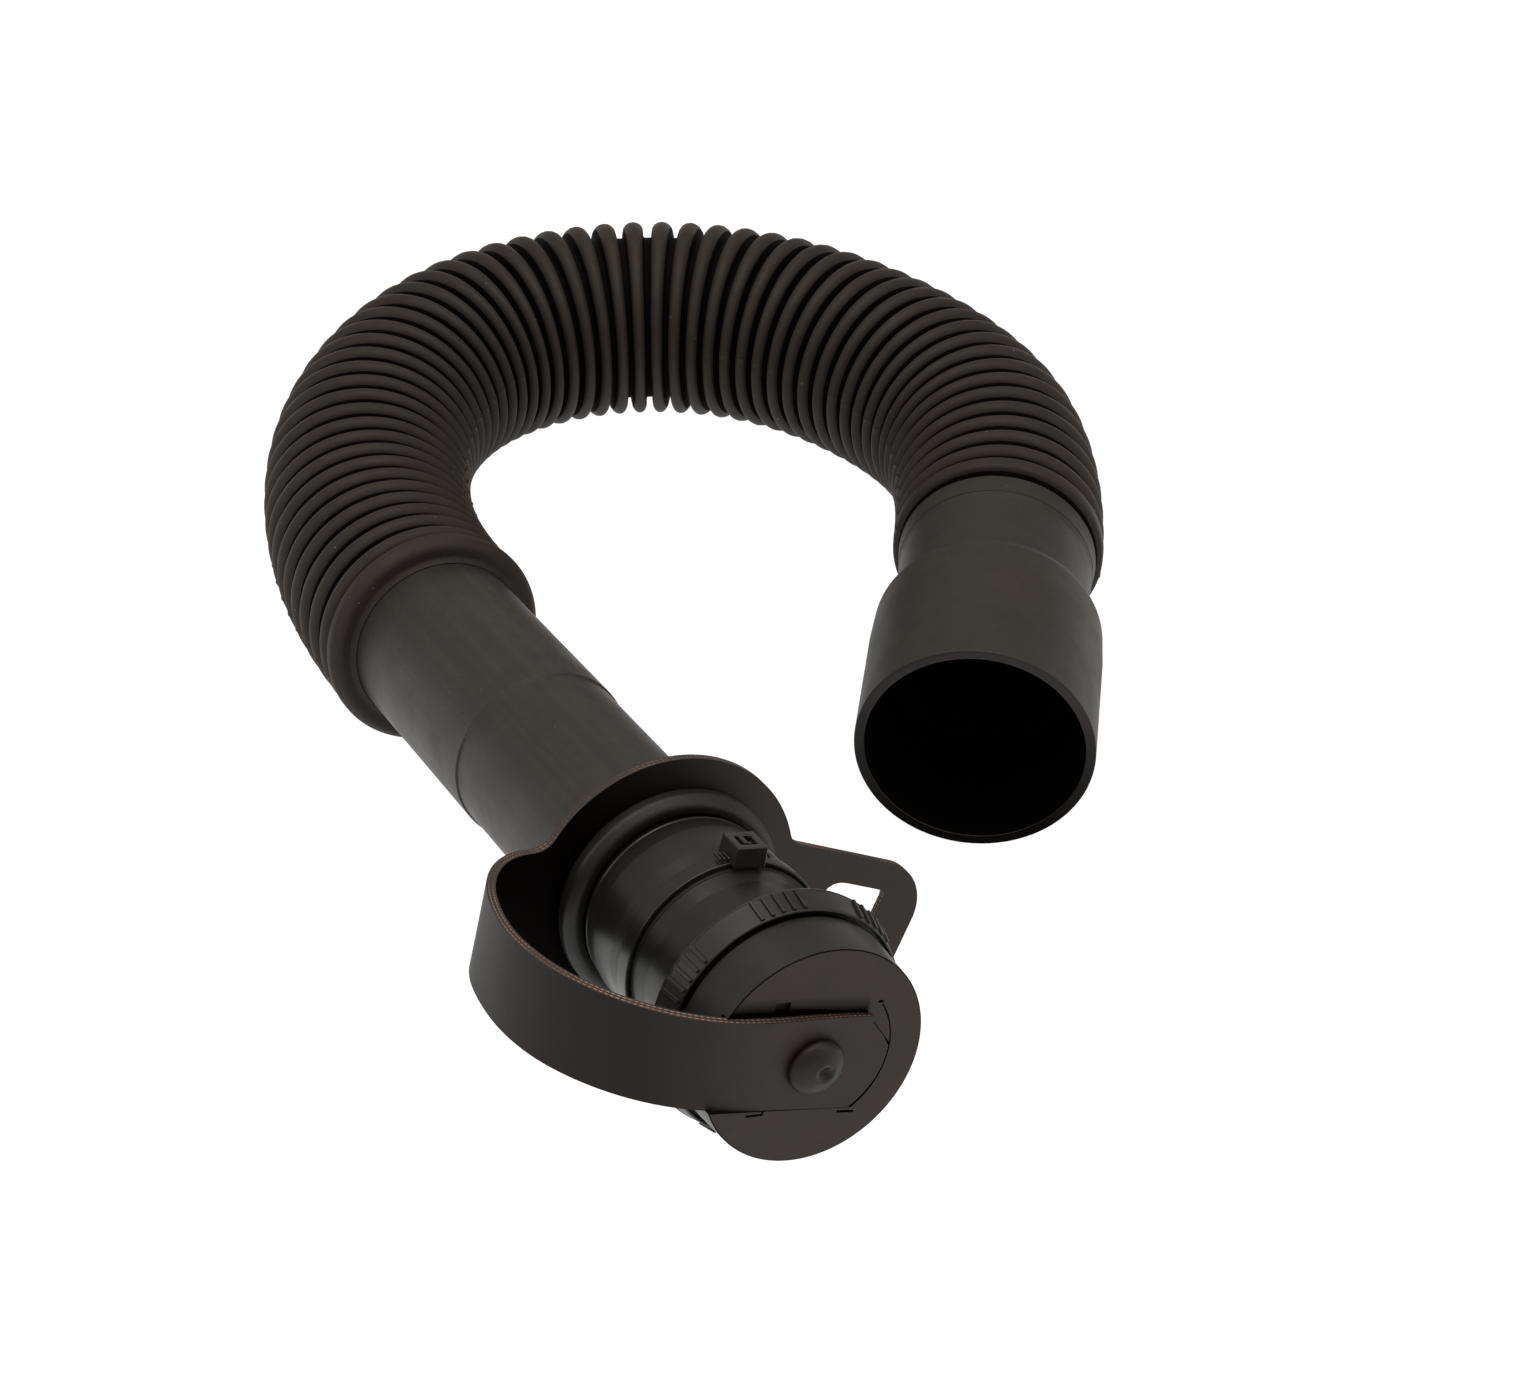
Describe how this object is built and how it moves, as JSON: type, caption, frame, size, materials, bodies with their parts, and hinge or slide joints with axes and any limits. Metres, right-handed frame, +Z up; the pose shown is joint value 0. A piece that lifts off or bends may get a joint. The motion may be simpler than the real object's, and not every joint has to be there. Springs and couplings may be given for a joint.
{
  "type": "corrugated hose assembly",
  "caption": "Wide corrugated rubber hose in a C, flared socket at one end, smooth spout with tied neck and a screw cap held on a riveted strap at the other.",
  "frame": {"origin": "centre of the bounding box at the floor the hose lies on", "axes": "+Z up off the floor; -Y is the way the socket's mouth opens; +X from the spout's root towards the socket"},
  "size_m": [0.2588, 0.4332, 0.0923],
  "materials": {
    "hose_rubber": "matte",
    "smooth_rubber": "satin",
    "strap_rubber": "satin, fabric plies in the cut edges",
    "black_plastic": "satin gloss",
    "tie_nylon": "satin",
    "gasket_rubber": "matte",
    "washer_steel": "plain"
  },
  "bodies": {
    "socket_end": {"corrugated_hose": "hose_rubber", "socket_band": "smooth_rubber", "socket_cuff": "smooth_rubber"},
    "spout_end": {"hose_end_ring": "hose_rubber", "spout_tube": "smooth_rubber", "spout_sleeve": "smooth_rubber", "spout_neck": "black_plastic", "cable_tie": "tie_nylon", "tether_strap": "strap_rubber"},
    "cap_core": {"cap_disc": "black_plastic", "cap_gasket": "gasket_rubber", "strap_rivet": "black_plastic", "rivet_washer": "washer_steel"},
    "cap_grip": {"grip_ring": "black_plastic", "retaining_ring": "black_plastic"}
  },
  "joints": [
    {"name": "hose_flex", "type": "hinge", "parent": "socket_end", "child": "spout_end", "pos_m": [-0.01, 0.185, 0.031], "axis": [0, 0, -1], "range_deg": [-5, 25], "stiffness_Nm_per_rad": 2, "deforming": ["corrugated_hose"]},
    {"name": "cap_lift", "type": "slide", "parent": "spout_end", "child": "cap_core", "axis": [0.5622, -0.8195, 0.1109], "range_m": [0, 0.008], "deforming": ["tether_strap"]},
    {"name": "cap_turn", "type": "hinge", "parent": "cap_core", "child": "cap_grip", "pos_m": [0.05981, -0.18108, 0.05994], "axis": [0.5622, -0.8195, 0.1109], "range_deg": [0, 720]}
  ],
  "couplings": [
    {"joint": "cap_turn", "follows": "cap_lift", "rad_per_m": 1570.7}
  ]
}
